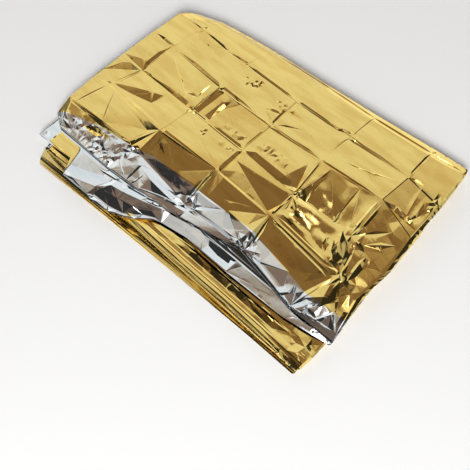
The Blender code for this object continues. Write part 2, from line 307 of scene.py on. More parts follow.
# The creases that were made by hand, not by the factory. A fold's left is its far side where it
# runs along the pile, and its right-hand side where it runs from back to front. Past column 6 they
# lie on film B, whose u runs back from 13, its left end, to 7.
FOLDS = (
    # crease A and the one behind it
    Fold((0.5, 5.03), (1.0, 5.0), 1.9, 5, 1.5, 0.6, 1.6),
    Fold((1.03, 5.0), (1.58, 4.97), 2.2, 6, 1.5, 0.6, 1.8),
    Fold((1.46, 5.47), (1.56, 4.98), 2.0, 2, 30, 0.97),
    Fold((1.58, 4.95), (2.05, 5.07), 1.2, 5, 1.5, 0.7, 1.5),
    Fold((2.03, 5.0), (3.0, 4.99), 2.4, 6, 1.5, 0.4, 3.0),
    Fold((3.01, 5.0), (3.80, 4.95), 2.4, 7, 2, 0.2, 2.4),
    Fold((3.76, 4.95), (3.97, 5.10), 2.2, 8, 2, 0.5, 1.8),
    Fold((4.0, 4.91), (5.0, 5.02), 2.2, 8, 2, 0.15, 1.7),
    Fold((5.0, 5.03), (5.42, 5.13), 1.0, 5, 1.5, 0.5, 1.5),
    Fold((2.1, 7.0), (3.2, 7.0), 0.9, 2.5, 4, 0.7, 2.0),
    Fold((3.1, 7.0), (4.02, 6.55), 1.5, 3, 7, 0.6, 2.0),
    Fold((3.98, 6.58), (4.96, 6.50), 2.0, 3.5, 9, 0.5, 4.0),
    Fold((4.95, 6.52), (5.95, 6.36), 1.5, 3, 7, 0.4, 2.0),
    Fold((4.98, 6.50), (5.01, 6.98), 1.2, 3, 4, 0.4, 1.5),
    # crease B
    Fold((0.15, 4.07), (1.02, 4.0), 2.4, 7, 1.5, 0.8, 2.0),
    Fold((0.99, 3.99), (2.0, 3.98), 2.8, 10, 1.5, 0.85, 2.0),
    Fold((2.0, 3.97), (3.05, 3.93), 3.0, 11, 2, 0.06, 1.5),
    Fold((2.95, 3.91), (3.98, 4.0), 1.8, 7, 1.5, 0.45, 2.2),
    Fold((4.02, 3.98), (4.95, 3.98), 1.0, 4, 1.5, 0.3, 2.5),
    # crease C
    Fold((0.04, 3.08), (1.02, 3.04), 3.8, 29, 2, 0.95),
    Fold((1.05, 3.03), (1.99, 3.02), 1.7, 11, 2.5, 0.85, 1.4),
    Fold((2.04, 2.98), (2.34, 2.97), 1.8, 7, 1.5, 0.4, 2.0),
    Fold((2.33, 2.97), (3.01, 2.98), 2.6, 10, 1.5, 0.7, 2.5),
    Fold((3.03, 3.01), (4.0, 3.02), 3.4, 15, 2.5, 0.5, 3.5),
    Fold((4.03, 3.02), (4.92, 3.04), 6.0, 80, 2.5, 0.4, 2.2),
    # crease D
    Fold((0.75, 2.06), (1.02, 2.09), 0.9, 3, 1.5, 0.5),
    Fold((1.13, 2.09), (2.02, 2.08), -0.6, 2, 6, 0.6, 2.0),
    Fold((2.0, 2.10), (3.02, 2.03), -2.2, 3, 12, 0.1, 1.5),
    Fold((3.04, 1.98), (3.97, 1.96), -1.8, 7, 45, 0.5, 3.5),
    Fold((3.03, 2.05), (3.95, 2.01), 1.5, 32, 3, 0.3, 1.5),
    Fold((4.08, 1.91), (4.95, 1.85), -1.8, 4, 34, 0.5, 4.0),
    Fold((4.06, 1.99), (4.96, 1.95), -1.2, 5, 6, 0.5, 3.0),
    Fold((4.05, 2.12), (4.92, 2.06), -1.6, 4, 7, 0.5, 3.0),
    # crease E, left of the margin
    Fold((0.25, 1.02), (1.97, 0.99), 0.8, 5, 5, 0.5, 3.0),
    # cross crease 1
    Fold((0.97, 5.35), (0.97, 5.02), 1.4, 1.5, 5, 0.6, 1.5),
    Fold((1.03, 6.9), (0.97, 5.2), 0.9, 2, 4, 0.8),
    Fold((0.98, 4.95), (1.0, 4.05), 1.2, 1.5, 6, 0.3, 1.8),
    Fold((0.99, 3.93), (0.99, 3.05), 2.0, 1.5, 8, 0.6, 2.0),
    Fold((1.03, 2.95), (1.05, 2.2), 0.6, 2, 3, 0.4, 2.0),
    Fold((1.01, 1.95), (1.05, 1.05), 0.6, 2, 3, 0.5, 2.0),
    # slivers in front of crease C
    Fold((0.0, 2.28), (0.97, 2.97), 3.6, 20, 3, 0.75, 1.3),
    # cross crease 2
    Fold((2.11, 3.97), (2.09, 3.0), 2.2, 2, 16, 0.5, 6.0),
    Fold((2.44, 3.97), (2.26, 3.40), 1.8, 2, 36, 0.15),
    Fold((2.30, 3.85), (2.29, 3.0), 2.4, 2, 15, 0.6, 3.0),
    Fold((1.88, 3.86), (1.90, 3.38), 0.9, 2, 3, 0.5, 1.5),
    Fold((1.73, 3.29), (1.91, 3.40), 1.0, 6, 3, 0.6),
    Fold((1.93, 1.68), (1.97, 1.02), 1.2, 3, 5, 0.6, 1.5),
    Fold((2.04, 1.94), (2.38, 1.47), -0.7, 12, 9, 0.5),
    # cross crease 3
    Fold((2.99, 4.63), (2.99, 4.04), 1.6, 1.5, 6, 0.6, 3.0),
    Fold((3.02, 4.61), (3.32, 4.67), 1.4, 12, 2, 0.3),
    Fold((3.05, 4.10), (3.40, 4.40), 1.4, 4, 13, 0.35),
    Fold((2.74, 4.30), (2.97, 4.42), 1.3, 6, 1.5, 0.6, 1.5),
    Fold((2.62, 4.45), (2.96, 4.10), -0.7, 4, 4, 0.6),
    Fold((2.99, 3.88), (2.99, 3.05), 0.8, 1.5, 4, 0.5, 2.0),
    Fold((3.02, 2.96), (3.06, 2.04), 2.4, 3, 9, 0.5, 5.0),
    Fold((2.97, 1.96), (2.99, 1.30), 2.0, 9, 2, 0.6, 3.0),
    # big facets between cross creases 3 and 4
    Fold((3.87, 3.75), (3.99, 3.05), 4.4, 4, 54, 0.85),
    Fold((3.08, 2.64), (3.97, 2.07), 7.5, 74, 4, 0.93),
    Fold((3.98, 1.98), (3.93, 1.0), -7.5, 9, 76, 0.6),
    Fold((4.01, 1.95), (4.04, 1.05), 1.8, 4, 4, 0.5, 2.0),
    # cross crease 4
    Fold((4.01, 6.6), (4.01, 5.05), 0.6, 1.5, 3, 0.7, 2.0),
    Fold((3.99, 4.95), (4.0, 4.05), 0.7, 2, 5, 0.2, 1.2),
    Fold((4.0, 3.95), (4.0, 3.05), -1.0, 3, 3, 0.5, 3.0),
    Fold((4.0, 2.95), (4.0, 2.05), -1.8, 3, 4, 0.5, 4.0),
    Fold((4.03, 2.9), (4.2, 2.5), 2.6, 3, 22, 0.8),
    Fold((4.25, 4.33), (4.52, 4.44), -0.6, 2, 3, 0.5),
    Fold((4.45, 4.38), (4.95, 4.76), -0.6, 2, 4, 0.4),
    # cross crease 5 and the right end
    Fold((4.99, 6.3), (4.99, 5.05), 1.2, 2, 5, 0.6, 2.5),
    Fold((4.98, 3.95), (4.98, 3.03), -3.0, 5, 6, 0.5, 2.0),
    Fold((5.07, 3.95), (5.05, 3.05), -2.6, 6, 4, 0.4, 1.5),
    Fold((5.05, 4.02), (5.98, 4.20), 2.8, 12, 3, 0.6, 2.0),
    Fold((4.86, 3.0), (4.93, 2.15), -3.0, 16, 14, 0.55, 1.5),
    Fold((5.05, 1.98), (5.40, 1.30), -6.0, 34, 36, 0.7),
    Fold((5.24, 1.98), (5.78, 1.34), 3.0, 8, 24, 0.6),
    Fold((5.12, 3.0), (5.42, 2.98), -2.0, 5, 5, 0.5, 1.5),
    Fold((5.18, 2.9), (5.12, 2.1), 2.2, 6, 16, 0.5, 1.5),
    Fold((5.5, 2.95), (5.40, 2.1), -3.0, 14, 8, 0.5, 1.5),
    Fold((5.40, 5.05), (5.62, 4.2), -1.1, 14, 10, 0.5, 1.5),
    Fold((5.10, 3.12), (5.62, 3.75), 1.8, 5, 9, 0.5),
    Fold((5.32, 3.08), (5.85, 3.62), -2.0, 6, 7, 0.5),
    # the silver margin of film A
    Fold((1.33, 0.58), (1.64, 0.74), 4.0, 7, 7, 0.5, 2.0),
    Fold((2.27, 0.80), (2.29, 0.02), -1.2, 2, 3, 0.2, 3.0),
    Fold((2.39, 0.58), (2.37, 0.02), -1.0, 2, 2, 0.5, 3.0),
    Fold((2.02, 0.42), (2.24, 0.10), -0.8, 2, 2, 0.5, 2.0),
    Fold((2.96, 0.60), (2.45, 0.02), -1.0, 3, 3, 0.5, 2.0),
    Fold((3.0, 1.42), (2.99, 1.04), -1.4, 2, 2, 0.5, 3.0),
    Fold((3.01, 1.42), (3.15, 1.05), -1.2, 2, 2, 0.5, 3.0),
    Fold((4.81, 1.37), (4.99, 1.02), -1.4, 2, 2, 0.5, 2.5),
    # film B's front, whose ridges have a positive depth
    Fold((10.82, 1.04), (10.46, 0.93), 1.8, 3, 4, 0.5, 3.0),
    Fold((10.50, 0.95), (10.14, 0.66), 2.0, 3, 4, 0.5, 3.0),
    Fold((10.18, 0.68), (9.74, 0.56), 1.8, 3, 4, 0.5, 3.0),
    Fold((10.50, 0.84), (10.20, 0.60), -2.4, 6, 2, 0.5, 1.5),
    Fold((11.3, 0.92), (10.86, 1.02), 1.2, 3, 3, 0.5, 2.0),
    # the front pleats of film B
    Fold((8.0, 8.975), (10.8, 8.970), -0.9, 4, 3, 0.5, 5.0),
    Fold((7.8, 8.988), (10.9, 8.985), 0.9, 3, 4, 0.5, 5.0),
    Fold((7.3, 9.10), (12.4, 9.03), -2.0, 4, 5, 0.5, 6.0),
    Fold((7.2, 9.34), (12.4, 9.24), 2.2, 5, 6, 0.5, 6.0),
    Fold((7.5, 9.55), (12.0, 9.42), -1.6, 4, 5, 0.5, 6.0),
)
SKETCHES = (
    Sketch("left of cross crease 2, from D to E", (
        ((1.0, 2.06), (1.0, 1.0), (1.5, 0.9), (1.985, 1.0), (2.0, 2.0), (1.5, 2.1), (1.0, 2.06)),
        ((1.5, 1.02, 2.5), (1.94, 1.06, 5.5), (2.0, 2.0)),
        ((1.12, 2.04), (1.5, 1.90, -1.4), (1.90, 1.73, -1.9), (2.0, 2.0)),
    )),
    Sketch("right of cross crease 2, from D to E", (
        ((2.0, 2.0), (1.985, 1.0), (2.1, 0.9), (2.2, 1.1), (2.0, 2.0)),
        ((2.0, 2.0), (2.09, 1.12, 1.8), (2.1, 0.9)),
    )),
    Sketch("loop and lobe behind crease C", (
        ((4.0, 3.0), (4.0, 3.97), (4.5, 4.0), (4.95, 3.97), (4.97, 3.04)),
        ((4.0, 3.0), (4.2, 3.06, -3.0), (4.5, 3.07, -5.0), (4.68, 3.06, -4.5), (4.85, 3.06, -4.0),
         (4.97, 3.04)),
        ((4.05, 3.36), (4.14, 3.48, 1.4), (4.28, 3.45, 0.8), (4.42, 3.28, -1.2), (4.52, 3.12, -4.0)),
        ((4.05, 3.46, -0.9), (4.16, 3.58), (4.36, 3.54, -0.6), (4.50, 3.36, -1.4), (4.57, 3.16, -3.6)),
        ((4.37, 3.80, -0.6), (4.52, 3.50, -1.0), (4.62, 3.14, -4.0)),
        ((4.52, 3.97, 0.4), (4.68, 3.50, 1.2), (4.69, 3.20, -1.8)),
        ((4.74, 3.92, -1.4), (4.84, 3.55, -1.8), (4.86, 3.25, -2.6)),
    ), 5.0),
    Sketch("bulge between creases D and C", (
        ((4.03, 2.2), (4.02, 2.97), (4.5, 2.99), (4.97, 2.98), (5.0, 2.5), (4.95, 2.12), (4.03, 2.2)),
        ((4.15, 2.78, 7.4), (4.50, 2.60, -1.8), (4.70, 2.46, 3.0)),
        ((4.15, 2.66, 7.4), (4.50, 2.48, -1.8), (4.70, 2.36, 2.0)),
        ((4.10, 2.48, -0.6), (4.34, 2.40, -2.0), (4.60, 2.28, -2.4)),
        ((4.12, 2.34, 2.0), (4.22, 2.32, 5.4), (4.60, 2.14)),
        ((4.52, 2.86, 0.4), (4.70, 2.62, -2.0), (4.78, 2.30, -2.4)),
        ((4.86, 2.20, 3.0), (4.90, 2.50, 5.0), (4.86, 2.92, 1.6)),
    ), 5.0),
    Sketch("sliver behind crease D", (
        ((0.80, 2.05), (1.2, 2.78), (1.58, 3.0), (1.78, 2.9), (1.82, 2.25), (1.4, 2.05), (0.80, 2.05)),
        ((0.93, 2.09), (1.25, 2.46, 2.2), (1.45, 2.69, 2.8), (1.60, 2.86)),
        ((0.93, 2.09), (1.3, 2.27, -2.0), (1.56, 2.45, -3.4), (1.60, 2.86)),
    )),
    Sketch("white band and grey field, left of cross crease 3", (
        ((2.02, 0.86), (2.25, 0.74, 1.6), (2.5, 0.60, 4.6), (2.75, 0.56, 5.6), (2.97, 0.55, 6.0),
         (3.1, 0.6)),
        ((2.02, 1.02), (2.5, 1.02), (3.0, 1.0)),
        ((2.02, 0.0), (2.5, 0.0), (3.1, 0.0)),
        ((2.62, 0.30, 1.2), (2.95, 0.44, 3.6)),
    )),
    Sketch("dark facets beside cross crease 3", (
        ((2.22, 1.04), (2.33, 1.26, 1.2), (2.6, 1.36, 3.0), (2.95, 1.42, 4.0), (3.0, 1.0)),
        ((2.36, 1.14, 0.6), (2.52, 1.06, 0.2), (2.75, 1.11, 0.4), (2.96, 1.06, 0.2)),
        ((2.22, 1.04), (2.1, 2.0), (3.0, 2.0), (3.0, 1.0)),
    )),
    Sketch("big white facet, right of cross crease 3", (
        ((3.0, 1.0), (3.12, 1.05, 1.0), (3.18, 1.04, 4.0), (3.6, 1.06, 4.6), (3.88, 1.08, 3.8),
         (4.0, 1.0)),
        ((3.01, 1.42), (3.14, 1.10, 2.8), (3.22, 1.06, 4.0), (3.46, 1.43, 0.4), (3.92, 1.43, -1.0)),
        ((3.0, 2.0), (4.0, 2.0), (4.0, 1.0)),
    )),
    Sketch("light band between cross creases 4 and 5", (
        ((4.0, 1.0), (4.07, 1.42, -3.4), (4.3, 1.43, -4.2), (4.62, 1.42, -4.2), (4.94, 1.38, -3.4),
         (5.0, 1.0)),
        ((4.0, 1.0), (4.0, 2.0), (5.0, 2.0), (5.0, 1.0)),
        ((4.06, 1.04), (4.28, 1.10, 0.6), (4.62, 1.41, -3.0)),
        ((4.3, 1.08, -1.6), (4.74, 1.12, -1.8)),
    )),
    Sketch("arch at the right end", (
        ((5.46, 0.98), (5.70, 1.42), (5.98, 0.94)),
        ((5.53, 1.02, 0.8), (5.70, 1.30, 2.6), (5.92, 0.99, 0.8)),
        ((5.62, 1.04, -1.6), (5.80, 1.02, -1.6)),
        ((5.46, 0.98), (5.72, 0.9), (5.98, 0.94)),
    )),
    Sketch("corner facet behind the arch", (
        ((5.70, 1.43), (5.98, 0.97), (5.99, 1.60), (5.76, 1.62), (5.70, 1.43)),
        ((5.90, 1.16, 1.8), (5.89, 1.36, 2.6), (5.88, 1.54, 1.6)),
    )),
    Sketch("white flap, layer 1 lower", (
        ((11.64, 1.0), (11.05, 1.0)),
        ((11.64, 0.40), (11.5, 0.50, -0.9), (11.32, 0.68, -1.1), (11.12, 0.80, -0.6), (11.02, 0.82)),
        ((11.64, 0.0), (11.45, 0.12, 1.6), (11.12, 0.36, 2.0), (11.05, 0.0)),
    )),
    Sketch("hollow and terrace in front of film B's first layer", (
        ((10.7, 8.85), (7.0, 8.85)),
        ((10.7, 8.92, -2.0), (10.2, 8.925, -3.6), (9.5, 8.930, -3.0), (9.0, 8.934, -2.4),
         (8.5, 8.936, -2.0), (8.0, 8.934, -1.6), (7.5, 8.93, -0.8), (7.0, 8.93)),
        ((9.9, 8.944, -1.6), (9.5, 8.945, 1.6), (9.0, 8.947, 2.4), (8.5, 8.948, 2.6),
         (8.0, 8.946, 2.0), (7.7, 8.94)),
        ((10.7, 8.962, -2.4), (10.2, 8.966, -2.0), (9.9, 8.968, -1.6), (9.5, 8.968, -1.4),
         (9.0, 8.970, -1.2), (8.5, 8.971, -1.0), (8.0, 8.970), (7.0, 8.97, 3.0)),
        ((10.7, 8.99, -1.2), (10.2, 8.993, -0.6), (9.9, 8.993, 0.8), (9.5, 8.993, 1.6),
         (8.5, 8.993, 2.2), (8.0, 8.995, 3.0), (7.0, 8.995, 4.2)),
        ((10.7, 9.12), (9.5, 9.12, 0.9), (7.0, 9.12, 1.4)),
        ((10.7, 9.30), (7.0, 9.30)),
    )),
    Sketch("front edge turned up, layer 1 lower", (
        ((10.1, 0.0), (9.7, 0.0, 7.0), (9.0, 0.0, 8.6), (8.0, 0.0, 8.6), (7.4, 0.0, 6.0), (7.05, 0.0)),
        ((10.1, 0.011), (9.7, 0.011, 1.2), (9.0, 0.011, 1.6), (8.0, 0.011, 1.6), (7.4, 0.011, 1.4),
         (7.05, 0.011)),
        ((10.1, 0.9), (7.05, 0.9)),
        ((10.1, 0.0), (10.1, 0.9)),
        ((7.05, 0.0), (7.05, 0.9)),
    )),
    Sketch("drooping dark front, layer 1 lower", (
        ((11.12, 0.0), (11.10, 0.40), (10.96, 1.10), (10.4, 1.05), (10.1, 0.55), (10.1, 0.0)),
        ((11.10, 0.40), (10.96, 0.70, 5.0), (10.74, 0.76, 6.0), (10.5, 0.72, 5.5), (10.22, 0.50, 3.0),
         (10.1, 0.0)),
        ((11.02, 0.0, -4.2), (10.72, 0.0, -4.6), (10.40, 0.0, -4.2)),
        ((11.04, 0.16, -3.8), (10.78, 0.16, -4.4), (10.55, 0.10, -4.4), (10.36, 0.20, -3.8)),
        ((11.02, 0.45, 1.4), (10.76, 0.48, 2.2), (10.52, 0.42, 2.2), (10.30, 0.36, 1.2)),
        ((10.73, 0.74, 6.4), (10.68, 0.48, 3.0), (10.57, 0.12, -3.6)),
    )),
    Sketch("ropes and dark slit, layer 1 lower", (
        ((9.9, 0.98), (9.72, 0.92, 2.2), (9.2, 0.95, 2.8), (8.7, 0.84, 2.6), (8.1, 0.66, 2.0),
         (7.9, 0.60)),
        ((9.9, 0.70), (9.7, 0.74, -1.6), (9.2, 0.74, -1.8), (8.7, 0.70, -1.6), (8.2, 0.60, -1.2),
         (7.9, 0.56)),
        ((9.8, 0.64, 1.2), (9.2, 0.68, 1.6), (8.65, 0.65, 1.6), (8.1, 0.56, 1.0)),
        ((9.9, 0.55), (9.5, 0.58, -0.6), (9.0, 0.60, -0.8), (8.6, 0.58, -0.6), (8.1, 0.52)),
        ((9.9, 1.1), (9.0, 1.15), (7.9, 0.9)),
    )),
    Sketch("dark patch, layer 1 lower", (
        ((9.56, 0.50), (9.44, 0.48, 3.0), (9.2, 0.52, 3.6), (8.95, 0.52, 3.0), (8.86, 0.52)),
        ((9.40, 0.34, -2.6), (9.22, 0.28, -3.4), (9.04, 0.30, -3.0)),
        ((9.56, 0.50), (9.42, 0.05), (8.98, 0.05), (8.86, 0.52)),
    )),
    Sketch("dark slit at the right, layer 1 lower", (
        ((8.02, 0.52), (7.8, 0.50, 1.8), (7.45, 0.42, 1.8), (7.2, 0.36)),
        ((7.88, 0.38, -1.6), (7.5, 0.30, -1.6)),
        ((8.02, 0.52), (7.95, 0.26), (7.4, 0.22), (7.2, 0.36)),
    )),
)
TILE_BORDER = 2.6  # mm
TILES = (
    Tile(0, 3, (0.6, 0.8), (-0.4, -0.9)),
    Tile(1, 3, (2.6, 2.5), (-2.5, -2.6)),
    Tile(2, 3, (1.9, 2.0), (-1.9, -1.8)),
    Tile(3, 3, (0.5, 0.2), (-0.3, 0.3)),
    Tile(0, 4, (-0.4, 0.4), (0.5, -0.3)),
    Tile(1, 4, (0.4, -0.3), (-0.5, 0.3)),
    Tile(2, 4, (0.5, 0.5), (-0.3, -0.5)),
    Tile(3, 4, (-0.4, 0.3), (0.3, -0.4)),
    Tile(4, 4, (0.3, 0.5), (0.4, -0.3)),
    Tile(5, 4, (1.3, 1.0), (-0.9, -1.1)),
    Tile(1, 5, (0.4, -0.4), (0.3, 0.5)),
    Tile(2, 5, (-0.3, 0.4), (0.5, -0.3)),
    Tile(3, 5, (0.4, 0.3), (-0.4, 0.4)),
    Tile(4, 5, (-0.3, 0.4), (0.4, -0.4)),
    Tile(5, 5, (0.7, 0.6), (-0.6, -0.6)),
    Tile(0, 2, (0.4, 0.6), (-0.4, -0.5)),
    Tile(1, 2, (-0.4, 0.4), (0.4, -0.4)),
    Tile(2, 2, (0.4, -0.4), (-0.3, 0.5)),
)
TURNED = (
    Patch("slit in the margin", Side.COATED,
          ((1.30, 0.56), (1.42, 0.50), (1.52, 0.50), (1.68, 0.76), (1.50, 0.82))),
    Patch("slit between the films", Side.TURNED, ((8.9, 0.80), (9.42, 0.84), (9.42, 1.0), (8.9, 1.0))),
)
FANS = (
    Fan((3.0, 1.02), 1.7, (56, 26), 16, 5, 0.6),
    Fan((4.0, 1.02), 2.2, (56, 30), 16, 8, 0.6),
    Fan((5.0, 1.0), 2.6, (66, 36), 24, 13, 0.6),
    Fan((2.05, 0.86), 1.6, (24, 24), 11, 3, 0.6),
    Fan((5.0, 3.0), 1.6, (34, 34), 9, 34),
    Fan((5.1, 2.1), 1.8, (46, 40), 11, 21),
    Fan((2.0, 5.06), 0.7, (12, 12), 7, 1),
    Fan((3.0, 4.0), 0.5, (12, 12), 6, 2),
    Fan((2.0, 3.0), 0.9, (14, 14), 7, 4),
    Fan((4.05, 3.03), 1.6, (16, 16), 8, 6),
    Fan((9.82, 0.82), 2.4, (30, 30), 13, 61, 0.6),
)
FAN_SWING = 0.3  # most that a ray is turned, as a share of the angle between two
FAN_REACH = (0.75, 1.0)  # shares of the reach that a ray may have
FAN_HEIGHT = (0.35, 1.0)  # and of the height
CRUMPLES = (
    Crumple((0.25, 1.30), (0.04, 0.62), (18, 7), 1.0, 30),
    Crumple((1.20, 2.04), (0.04, 0.98), (7, 12), 0.9, 31),
    Crumple((1.36, 1.62), (0.54, 0.78), (6, 6), 1.2, 52),
    Crumple((2.06, 2.95), (0.05, 0.52), (20, 14), 0.45, 53),
    Crumple((1.50, 2.04), (0.03, 0.50), (8, 6), 1.0, 32),
    Crumple((5.1, 5.5), (0.98, 1.36), (9, 26), 1.4, 33),
    Crumple((5.1, 5.94), (1.4, 3.0), (30, 22), 2.4, 37),
    Crumple((5.1, 5.94), (3.0, 4.1), (30, 22), 1.8, 38),
    Crumple((5.60, 5.94), (4.20, 4.95), (13, 16), 1.7, 39),
    Crumple((5.80, 5.96), (4.72, 5.25), (9, 9), 2.0, 55),
    Crumple((2.13, 2.43), (4.5, 4.88), (6, 6), 1.2, 40),
    Crumple((2.78, 2.97), (4.5, 4.8), (6, 6), 1.1, 41),
    Crumple((2.5, 2.9), (3.12, 3.35), (6, 6), 1.1, 43),
    Crumple((3.1, 3.65), (3.28, 3.55), (7, 7), 1.1, 44),
    Crumple((2.36, 2.46), (2.62, 2.85), (5, 5), 1.2, 45),
    Crumple((2.66, 2.96), (2.60, 2.90), (6, 6), 0.8, 54),
    Crumple((10.1, 11.3), (0.72, 1.1), (22, 9), 1.1, 46),
    Crumple((12.5, 12.95), (0.6, 1.1), (16, 12), 1.6, 49),
    Crumple((7.8, 10.0), (8.930, 8.976), (24, 11), 2.4, 47),
    Crumple((7.02, 7.9), (8.90, 8.998), (26, 15), 2.2, 50),
    Crumple((7.0, 7.7), (9.02, 9.9), (16, 8), 2.2, 51),
)
CRUMPLE_SHIFT = 0.38  # most that a corner of a facet is moved, as a share of the facet's side


def column_at(column: Array) -> Array:
    """Position along the flat sheet, in mm, of a column."""
    return np.interp(column, range(len(COLUMN_AT)), COLUMN_AT)


def row_at(row: Array) -> Array:
    """Position across the flat sheet, in mm, of a row."""
    return np.interp(row, range(len(ROW_AT)), ROW_AT)


class FacetNet:
    """A net of flat triangles over part of the flat sheet, zero along its outline."""

    BORDER = 0.01  # mm searched beyond the outline
    SLACK = 1e-6  # share of a triangle by which it is taken as larger

    def __init__(self, points: Array, heights: Array, lines: Sequence[tuple[int, int]] = ()) -> None:
        """Join points of the flat sheet, in mm, into triangles.

        Args:
            points: their places on the flat sheet.
            heights: how far each stands out of the sheet, in mm.
            lines: pairs of points that an edge must join.
        """
        places = [Vector(pair) for pair in points]
        self.points, self.edges, self.faces, source, _, _ = delaunay_2d_cdt(
            places, list(lines), [], HULL, SNAP)
        known = [[heights[i] for i in index] for index in source]
        self.heights = np.array([max(values, key=abs) if values else 0.0 for values in known])

    def height(self, s: Array, t: Array) -> Array:
        """Measure how far the net stands out.

        Args:
            s: places along the flat sheet, in mm.
            t: places across it, in mm.

        Returns:
            The height at each place, in mm.
        """
        out = np.zeros_like(s)
        at = np.array([tuple(point) for point in self.points])
        low, high = at.min(axis=0) - self.BORDER, at.max(axis=0) + self.BORDER
        near = np.flatnonzero((s > low[0]) & (s < high[0]) & (t > low[1]) & (t < high[1]))
        x, y = s[near], t[near]
        found = np.zeros(len(near))
        for face in self.faces:
            (ax, ay), (bx, by), (cx, cy) = at[face[0]], at[face[1]], at[face[2]]
            twice = (bx - ax) * (cy - ay) - (cx - ax) * (by - ay)
            share_b = ((x - ax) * (cy - ay) - (cx - ax) * (y - ay)) / twice
            share_c = ((bx - ax) * (y - ay) - (x - ax) * (by - ay)) / twice
            inside = (share_b > -self.SLACK) & (share_c > -self.SLACK)
            inside &= share_b + share_c < 1.0 + self.SLACK
            ends = self.heights[list(face)]
            value = ends[0] + share_b * (ends[1] - ends[0]) + share_c * (ends[2] - ends[0])
            found[inside] = value[inside]
        out[near] = found
        return out


def fold_net(fold: Fold, start: Array, end: Array) -> FacetNet:
    """Make the four or six facets of a hand-made crease.

    Args:
        fold: the crease.
        start: its start on the flat sheet, in mm.
        end: its end.

    Returns:
        The net of its facets.
    """
    run = (end - start) / np.hypot(*(end - start))
    aside = np.array((-run[1], run[0]))
    shares = {fold.peak / fold.spread, 1.0 - (1.0 - fold.peak) / fold.spread}
    bottom = [start + (end - start) * share for share in sorted(shares)]
    points = [start, end, *bottom]
    points += [point + aside * fold.left for point in bottom]
    points += [point - aside * fold.right for point in bottom]
    heights = [0.0, 0.0, *[-fold.depth] * len(bottom), *[0.0] * (2 * len(bottom))]
    return FacetNet(np.array(points), np.array(heights))


def fan_net(fan: Fan, centre: Array) -> FacetNet:
    """Make the facets that radiate from a place.

    Args:
        fan: the facets' sizes.
        centre: the place on the flat sheet, in mm.

    Returns:
        The net of the facets.
    """
    random = np.random.default_rng(fan.seed)
    order = np.arange(fan.rays)
    turns = 2.0 * math.pi * (order + random.uniform(-FAN_SWING, FAN_SWING, fan.rays)) / fan.rays
    rays = np.stack((np.cos(turns), np.sin(turns)), axis=1) * fan.reach
    rays *= random.uniform(*FAN_REACH, (fan.rays, 1))
    up_and_down = 1.0 - 2.0 * (order % 2)
    heights = fan.height * random.uniform(*FAN_HEIGHT, fan.rays) * up_and_down
    points = np.concatenate((centre[None], centre + rays * fan.ring, centre + rays))
    return FacetNet(points, np.concatenate(((0.0,), heights, np.zeros(fan.rays))))


def crumple_net(crumple: Crumple, low: Array, high: Array) -> FacetNet:
    """Make crumpled facets over a rectangle.

    Args:
        crumple: the facets' sizes.
        low: the rectangle's corner nearest the start of the flat sheet, in mm.
        high: the corner across from it.

    Returns:
        The net of the facets.
    """
    random = np.random.default_rng(crumple.seed)
    across, along = (max(2, round(side / size)) for side, size in zip(high - low, crumple.size))
    i, j = (axis.ravel() for axis in np.meshgrid(np.arange(across + 1), np.arange(along + 1)))
    inner = (i > 0) & (i < across) & (j > 0) & (j < along)
    shift_i, shift_j = (random.uniform(-CRUMPLE_SHIFT, CRUMPLE_SHIFT, len(i)) for _ in range(2))
    s = low[0] + (high[0] - low[0]) * (i + inner * shift_i) / across
    t = low[1] + (high[1] - low[1]) * (j + inner * shift_j) / along
    heights = inner * crumple.height * random.uniform(-1.0, 1.0, len(i))
    return FacetNet(np.stack((s, t), axis=1), heights)


